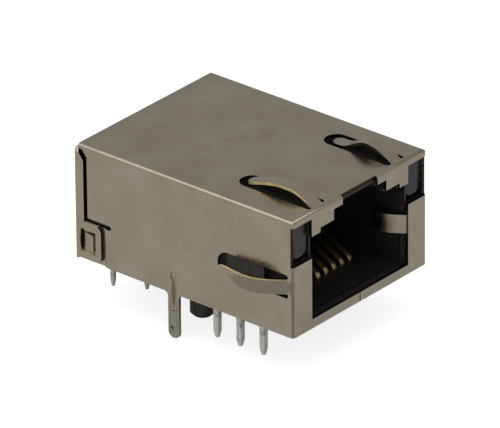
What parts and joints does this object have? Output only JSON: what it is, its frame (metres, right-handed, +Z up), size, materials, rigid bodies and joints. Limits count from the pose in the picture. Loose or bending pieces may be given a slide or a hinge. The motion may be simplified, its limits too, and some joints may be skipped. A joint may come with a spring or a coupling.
{
  "type": "rj45 board jack",
  "caption": "Shielded low-profile modular jack for a circuit board, with built-in magnetics, light windows and grounding fingers.",
  "frame": {"origin": "on the circuit board surface that the jack seats on, midway between the two locating pegs", "axes": "+Z up from the board, -Y out of the plug opening, +X to the right for someone looking into the opening"},
  "size_m": [0.0202, 0.023, 0.0154],
  "materials": {
    "nickel_sheet": "matt nickel plate on thin sheet, with bare brass-coloured cut edges",
    "black_plastic": "moulded black thermoplastic, slightly glossy",
    "carrier_plastic": "moulded black thermoplastic, matt",
    "base_plastic": "moulded black thermoplastic, matt",
    "laminate": "green solder resist on glass laminate",
    "smoke_lens": "smoke-grey moulded epoxy lens",
    "tinned_wire": "solder-dipped wire, slightly uneven",
    "gold_contact": "gold-plated spring wire, bright",
    "ferrite": "coated ferrite, dark grey",
    "enamelled_copper": "enamelled copper wire",
    "chip_ceramic": "fired ceramic with soldered ends"
  },
  "bodies": {
    "root": {"front_shield": "nickel_sheet", "rear_shield": "nickel_sheet", "housing": "black_plastic", "contact_carrier": "carrier_plastic", "circuit_board": "laminate", "pin_base": "base_plastic", "light_left": "smoke_lens", "light_right": "smoke_lens", "lead_left_1": "tinned_wire", "lead_left_2": "tinned_wire", "lead_left_3": "tinned_wire", "lead_right_1": "tinned_wire", "lead_right_2": "tinned_wire", "lead_right_3": "tinned_wire", "contact_1": "gold_contact", "contact_2": "gold_contact", "contact_3": "gold_contact", "contact_4": "gold_contact", "contact_5": "gold_contact", "contact_6": "gold_contact", "contact_7": "gold_contact", "contact_8": "gold_contact", "signal_pin_1": "tinned_wire", "signal_pin_2": "tinned_wire", "signal_pin_3": "tinned_wire", "signal_pin_4": "tinned_wire", "signal_pin_5": "tinned_wire", "signal_pin_6": "tinned_wire", "signal_pin_7": "tinned_wire", "signal_pin_8": "tinned_wire", "signal_pin_9": "tinned_wire", "signal_pin_10": "tinned_wire", "ferrite_ring_1": "ferrite", "ferrite_ring_2": "ferrite", "ferrite_ring_3": "ferrite", "ferrite_ring_4": "ferrite", "winding_1": "enamelled_copper", "winding_2": "enamelled_copper", "winding_3": "enamelled_copper", "winding_4": "enamelled_copper", "line_capacitor": "chip_ceramic", "termination_resistors": "chip_ceramic"}
  },
  "joints": []
}
